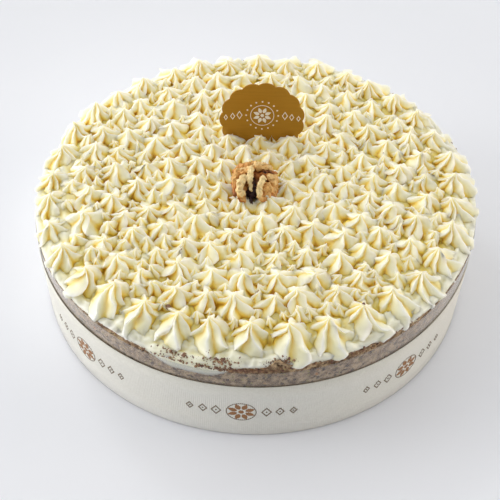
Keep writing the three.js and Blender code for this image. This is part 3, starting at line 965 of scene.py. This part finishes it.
def plaqueShape():
    count = plaque["scallops"] * plaque["samples"]
    a = tau * np.arange(count) / count
    edge = plaque["radius"] - plaque["scallopDepth"] * (1 - np.abs(np.sin(plaque["scallops"] * a / 2)) ** 0.8)
    bevel, thick, flat = plaque["bevel"], plaque["thickness"], plaque["flat"]
    rings = []
    # across the edge from back to front: how far in from the edge, how far forward of the face
    outline = [(flat, -thick), (bevel, -thick), (0, bevel - thick), (0, -bevel), (bevel, 0), (flat, 0)]
    for inward, lift in outline:
        rings.append(onPlaque(circle(edge - inward, a, 0)[:, :2], lift))
    middle = np.zeros((1, 2))
    return closedSkin(rings, onPlaque(middle, -thick), onPlaque(middle, 0))


def foilCard(tree):
    # Card faced with gold foil and lacquered: warm brown-gold, satin, with a faint grain that runs across.
    # Its brushed lines are about 0.1 mm apart, too fine to show, so they are drawn coarser.
    place = addNode(tree, "ShaderNodeTexCoord").outputs["Object"]
    brushed = addNode(tree, "ShaderNodeMapping", {"Scale": [perMetre(size) for size in plaque["brushed"]]},
                      {"Vector": place})
    grain = addNode(tree, "ShaderNodeTexNoise", {"Scale": 1, "Detail": 2}, {"Vector": brushed.outputs[0]})
    stops = list(zip((0.3, 0.7), plaque["gold"]))
    tint = addNode(tree, "ShaderNodeValToRGB", {"stops": stops}, {0: grain.outputs[0]})
    return addNode(tree, "ShaderNodeBsdfPrincipled", {"Roughness": plaque["roughness"], "Metallic": 0.3},
                   {"Base Color": tint.outputs[0]})


goldCard = newMaterial("gold card, foil-faced and lacquered, satin with a faint brushed grain", foilCard)
plaquePiece = meshObject("scalloped_plaque", *plaqueShape())
plaquePiece.data.set_sharp_from_angle(angle=math.radians(30))
dress(plaquePiece, goldCard, "gold_card", "card_plaque")

# its print: a flower in a hoop and a ring of dots, with lozenges that hang to either side
motif = {"up": 3.5, "bloom": 11, "ring": (7.2, 6.8), "dots": 16, "dotRing": 9.6, "dot": 0.55, "proud": 0.05,
         "lozenges": (6.0, 5.0, 4.2), "slim": 0.6, "line": (1.1, 1.7), "chain": (13.6, 4.1), "hang": 0.9}
up = motif["up"]
shapes = flower(0, up, motif["bloom"]) + [hoop(0, up, *motif["ring"], 36)]
shapes += [disc(motif["dotRing"] * math.cos(a), up + motif["dotRing"] * math.sin(a), motif["dot"])
           for a in tau * np.arange(motif["dots"]) / motif["dots"]]
for side in (-1, 1):
    for step, size in enumerate(motif["lozenges"]):
        x = side * (motif["chain"][0] + motif["chain"][1] * step)
        shapes.append(lozenge(x, up - motif["hang"] * step, size, motif["slim"], motif["line"]))
printPiece("plaque_print", shapes, lambda points, lift: onPlaque(points, lift + motif["proud"]),
           plaque["ink"], "off-white ink, printed on the card, matt", "gold_card")
print("plaque")

# the kernel's folds: the line from its foot (x, y, z), the radius at both ends, and how brown the skin is,
# where 0 is bare meat, 1 is dark skin and 2 is the near-black papery wall of the cavity; the low folds and
# the cavity are drawn browner partly as painted shade
folds = [
    ([(-5.9, -2.5, 10.2), (-7.3, -7.2, 10.6), (-7.6, -11.0, 9.6),
      (-6.9, -13.2, 7.2), (-5.9, -13.8, 4.0)], 2.1, 2.3, 0.1),
    ([(-9.1, 4.7, 8.4), (-10.6, -0.3, 8.2), (-11.0, -4.4, 7.2),
      (-10.6, -8.0, 5.6), (-9.4, -10.6, 3.4)], 1.9, 1.8, 0.45),
    ([(-1.7, 2.6, 11.4), (-2.1, -1.7, 11.2), (-2.0, -5.8, 10.2), (-1.5, -9.0, 7.8)], 2.3, 1.1, 0.0),
    ([(5.6, -3.8, 11.2), (4.0, -7.8, 10.8), (3.6, -11.4, 9.2),
      (4.0, -13.4, 6.6), (5.4, -14.0, 5.0)], 1.8, 1.7, 0.05),
    ([(5.4, -14.0, 5.0), (7.6, -13.3, 4.6), (9.2, -11.3, 5.6),
      (9.7, -8.6, 7.2), (8.8, -6.2, 8.8)], 1.6, 1.3, 0.42),
    ([(9.3, -0.6, 9.8), (10.9, -2.6, 8.8), (11.6, -4.6, 7.2)], 2.1, 1.7, 0.3),
    ([(1.6, 7.1, 11.6), (4.6, 6.8, 12.0), (7.7, 6.3, 11.4), (9.6, 5.7, 10.0)], 1.8, 1.6, 0.3),
    ([(2.2, 4.6, 11.4), (4.7, 4.6, 11.4), (7.2, 4.8, 10.8)], 1.5, 1.3, 0.35),
    ([(2.4, 3.4, 7.6), (5.0, 2.6, 8.2), (8.2, 1.6, 7.8)], 1.6, 1.5, 0.95),
    ([(3.0, 0.6, 7.0), (5.4, -0.6, 7.6), (7.6, -1.4, 7.4)], 1.3, 1.2, 0.9),
    ([(-7.7, 9.3, 8.4), (-5.4, 8.6, 9.8), (-2.6, 7.4, 10.4)], 1.6, 1.5, 0.7),
    ([(-8.6, 2.2, 8.8), (-6.5, 2.0, 10.2), (-4.0, 1.6, 10.8)], 1.4, 1.4, 0.6),
    ([(-6.8, 5.6, 9.0), (-3.8, 5.0, 10.0), (-1.2, 5.2, 11.0)], 1.5, 1.6, 0.2),
    ([(12.2, 3.0, 6.6), (12.9, -1.3, 6.2), (12.6, -5.8, 5.2), (11.2, -9.6, 3.6)], 1.9, 1.8, 0.25),
    ([(-10.2, 9.0, 4.6), (-5.2, 12.2, 5.2), (1.0, 12.6, 6.0),
      (7.0, 11.2, 5.2), (11.2, 7.4, 4.4)], 2.2, 2.2, 0.5),
    ([(-5.0, 10.6, 7.2), (0.6, 10.2, 9.2), (6.2, 9.4, 8.0)], 1.8, 1.7, 0.5),
    ([(7.6, -6.4, 7.6), (7.2, -8.6, 7.2), (6.6, -11.2, 5.8)], 2.2, 2.3, 0.55),
    ([(12.4, -2.4, 6.8), (12.2, -5.0, 6.0), (11.4, -7.6, 5.0)], 1.9, 1.8, 0.2),
    ([(-1.6, -9.0, 4.2), (-1.4, -12.0, 2.2), (-1.0, -13.6, 1.6)], 1.6, 1.3, 2.0),
]
# the bodies' brown is partly painted shade: the low mass and the cavity are drawn darker
bodies = [  # the kernel's mass behind the folds: middle, half sizes, brown
    ((0.2, 1.2, 3.2), (11.2, 11.4, 3.6), 0.8), ((-6.6, -6.0, 5.0), (3.4, 7.2, 4.0), 0.5),
    ((7.2, -7.8, 4.6), (3.6, 5.6, 3.2), 0.5), ((-0.4, 5.0, 5.4), (9.0, 6.0, 4.4), 0.6),
    ((-0.8, -6.0, 3.0), (3.0, 5.0, 3.0), 2.0),
]


def ball(centre, radius, steps=2):
    lump = bmesh.new()
    bmesh.ops.create_icosphere(lump, subdivisions=steps, radius=1)
    points = np.array([v.co for v in lump.verts]) * radius + centre
    faces = [tuple(v.index for v in f.verts) for f in lump.faces]
    lump.free()
    return points, faces


foot = np.array((kernel["x"], kernel["y"], kernel["z"]))
lumps, tones = [], []
for spine, startRadius, endRadius, brown in folds:
    place = np.linspace(0, len(spine) - 1, 6 * len(spine))
    spine = np.stack([curveThrough(list(enumerate(axis)), place) for axis in zip(*spine)], 1)
    for share, centre in zip(np.linspace(0, 1, len(spine)), spine):
        wobble = 1 + 0.16 * noise.noise(Vector(centre * 0.55))
        lumps.append(ball(centre + foot, (startRadius + (endRadius - startRadius) * share) * wobble))
        tones.append((centre, brown))
for centre, size, brown in bodies:
    lumps.append(ball(foot + centre, np.array(size), 3))
    tones.append((centre, brown))
walnutPiece = meshObject("walnut_kernel", *join(lumps))
skin = walnutPiece.modifiers.new("skin", "REMESH")
skin.mode, skin.voxel_size = "VOXEL", kernel["voxel"] * mm
even = walnutPiece.modifiers.new("even", "SMOOTH")
even.factor, even.iterations = 0.5, 2
finishedMesh(walnutPiece)
roughen(walnutPiece, ((0.45, 0.9), (1.0, 0.6), (2.2, 0.2)))
# how far the skin sinks below its surroundings, which browns the folds as painted shade
storeHollows([walnutPiece], 2.0, 0.5)
nearby = kdtree.KDTree(len(tones))
for k, (centre, brown) in enumerate(tones):
    nearby.insert(Vector(foot + centre) * mm, k)
nearby.balance()
browns = []
for vertex in walnutPiece.data.vertices:
    near = nearby.find_n(vertex.co, 5)
    weights = [1 / (distance / mm + 0.4) ** 3 for _, _, distance in near]
    browns.append(sum(w * tones[k][1] for w, (_, k, _) in zip(weights, near)) / sum(weights))
storeValues(walnutPiece, "brown", browns)

walnutFinish = {"meat": "#e9d29c", "tan": "#dba85e", "skin": "#b56a22", "cavity": "#2a0c0c", "roughness": 0.5,
                "patches": 2.381, "fibres": 0.667}


def walnutSurface(tree):
    # A shelled kernel is dry and has a dull gloss. Its pale meat shows where the papery skin has rubbed off
    # the crests, and the skin is brown in the folds and near black in the cavity, deepened there by painted
    # shade.
    finish = walnutFinish
    place = addNode(tree, "ShaderNodeTexCoord").outputs["Object"]
    brown = addNode(tree, "ShaderNodeAttribute", {"attribute_name": "brown"})
    hollow = addNode(tree, "ShaderNodeAttribute", {"attribute_name": "hollow"})
    patches = addNode(tree, "ShaderNodeTexNoise", {
        "Scale": perMetre(finish["patches"]), "Detail": 4, "Roughness": 0.6}, {"Vector": place})
    patched = addNode(tree, "ShaderNodeMath", {"operation": "MULTIPLY_ADD", 1: 0.9, 2: -0.42},
                      {0: patches.outputs[0]})
    # painted shade: the folds turn browner the further they sink below the skin round them
    grooveShade = addNode(tree, "ShaderNodeMapRange", {1: 0.2, 2: 3.0, 4: 0.9}, {0: hollow.outputs["Fac"]})
    browner = addNode(tree, "ShaderNodeMath", {"operation": "ADD"},
                      {0: patched.outputs[0], 1: grooveShade.outputs[0]})
    tone = addNode(tree, "ShaderNodeMath", {"operation": "ADD"},
                   {0: brown.outputs["Fac"], 1: browner.outputs[0]})
    half = addNode(tree, "ShaderNodeMath", {"operation": "MULTIPLY", 1: 0.5}, {0: tone.outputs[0]})
    stops = list(zip((0.02, 0.24, 0.5, 0.95), (finish[key] for key in ("meat", "tan", "skin", "cavity"))))
    tint = addNode(tree, "ShaderNodeValToRGB", {"stops": stops}, {0: half.outputs[0]})
    # the skin's veins are about 0.2 mm wide, too fine to show, so they are drawn coarser
    fibres = addNode(tree, "ShaderNodeTexNoise", {"Scale": perMetre(finish["fibres"]), "Detail": 3},
                     {"Vector": place})
    bump = addNode(tree, "ShaderNodeBump", {"Strength": 0.4, "Distance": 0.3 * mm},
                   {"Height": fibres.outputs[0]})
    return addNode(tree, "ShaderNodeBsdfPrincipled", {"Roughness": finish["roughness"]},
                   {"Base Color": tint.outputs[0], "Normal": bump.outputs[0]})


walnutSkin = newMaterial("walnut kernel, shelled and dry, pale meat with papery brown skin in the folds",
                         walnutSurface)
dress(walnutPiece, walnutSkin, "walnut", "walnut_half")
print("walnut:", len(walnutPiece.data.polygons))

# crumbs along the line where cream meets sponge, over the smear, and a few that fell between the rosettes
crumbs = {
    "size": (0.17, 0.8), "line": 520, "lineSpread": (-0.9, 0.8),
    "clean": [(-110, -44), (44, 105)],  # azimuths where the line has none
    # heaps on the shoulder: azimuth from and to, radius from and to, how many
    "shoulder": [(-22, -13, 125.5, 128.4, 90), (-12, -3, 124.5, 128.2, 130), (2.5, 10, 125.5, 128.4, 70)],
    # on the side: azimuth from and to, height from and to, how many
    "side": [(-12, 6, 58.2, 61.6, 300), (-26, -10, 58.4, 61, 70), (6, 34, 59.5, 62.5, 90)],
    # between the rosettes: x, y and size, and how many small ones anywhere
    "fallen": [(-43.7, -97.0, 1.5), (56.4, -96.2, 1.0), (2.6, -87.0, 0.9), (-22.7, -103.5, 1.0),
               (8.8, 65.6, 0.9)],
    "strays": 26, "straySize": (0.25, 0.5), "strayRadius": 118,
    "outermost": 128.4, "onCream": 128.75, "behindFilm": 128.2,  # radii
    "dark": "#77574c", "light": "#b08c68", "mottle": 2.632,
}
graph = bpy.context.evaluated_depsgraph_get()
creamSkins = [BVHTree.FromObject(piece, graph) for piece in creamPieces]


def onCream(angle, radius):  # a point on the cream's skin
    x, y = radius * math.cos(angle), radius * math.sin(angle)
    hits = [skin.ray_cast(Vector((x * mm, y * mm, 0.2)), Vector((0, 0, -1)))[0] for skin in creamSkins]
    return x, y, max((hit.z / mm for hit in hits if hit), default=cake["spongeTop"])


def atSide(azimuth, height):  # a point on the side, behind the film where the film covers it
    radius = crumbs["onCream"] if height > film["top"] + 1 else crumbs["behindFilm"]
    return circle(radius, angleOf(azimuth), height)


def crumb(centre, size):  # a torn, angular grain, the fine ones with fewer faces
    points, faces = ball((0, 0, 0), 1, 1 if size < 0.7 else 2)
    points = points * rng.uniform(0.6, 1.25, (len(points), 1)) * rng.uniform(0.7, 1.3, 3) * size
    turn = np.array(Matrix.Rotation(rng.uniform(0, tau), 3, Vector(rng.normal(size=3)).normalized()))
    return points @ turn + centre, faces


def crumbSize():  # mostly fine, a few coarse
    least, most = crumbs["size"]
    return least + (most - least) * rng.random() ** 2.2


def scattered(start, end):  # mostly near the middle of a span
    return rng.normal((start + end) / 2, (end - start) / 4)


grains = []
for azimuth in rng.uniform(-180, 180, crumbs["line"]):
    if any(start < azimuth < end for start, end in crumbs["clean"]):
        continue
    height = creamLine(angleOf(azimuth)) + rng.uniform(*crumbs["lineSpread"])
    grains.append(crumb(atSide(azimuth, height), crumbSize()))
for start, end, low, high, count in crumbs["side"]:
    for _ in range(count):
        grains.append(crumb(atSide(scattered(start, end), scattered(low, high)), crumbSize()))
for start, end, low, high, count in crumbs["shoulder"]:
    for _ in range(count):
        angle, radius = angleOf(scattered(start, end)), min(scattered(low, high), crumbs["outermost"])
        grains.append(crumb(onCream(angle, radius), crumbSize()))
for x, y, size in crumbs["fallen"]:
    grains.append(crumb(onCream(math.atan2(y, x), math.hypot(x, y)), size))
for _ in range(crumbs["strays"]):
    angle, radius = rng.uniform(0, tau), crumbs["strayRadius"] * math.sqrt(rng.random())
    grains.append(crumb(onCream(angle, radius), rng.uniform(*crumbs["straySize"])))


def tornCrumb(tree):  # torn and dry: matt grains, darker where they soaked up spice and syrup
    place = addNode(tree, "ShaderNodeTexCoord").outputs["Object"]
    mottle = addNode(tree, "ShaderNodeTexNoise", {"Scale": perMetre(crumbs["mottle"]), "Detail": 3},
                     {"Vector": place})
    tint = addNode(tree, "ShaderNodeValToRGB", {"stops": [(0.38, crumbs["dark"]), (0.64, crumbs["light"])]},
                   {0: mottle.outputs[0]})
    return addNode(tree, "ShaderNodeBsdfPrincipled", {"Roughness": 0.9}, {"Base Color": tint.outputs[0]})


cakeCrumb = newMaterial("cake crumbs, torn and dry, matt, dark where they soaked up spice", tornCrumb)
crumbPiece = meshObject("cake_crumbs", *join(grains))
dress(crumbPiece, cakeCrumb, "sponge")
print("crumbs:", len(grains))

low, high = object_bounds()
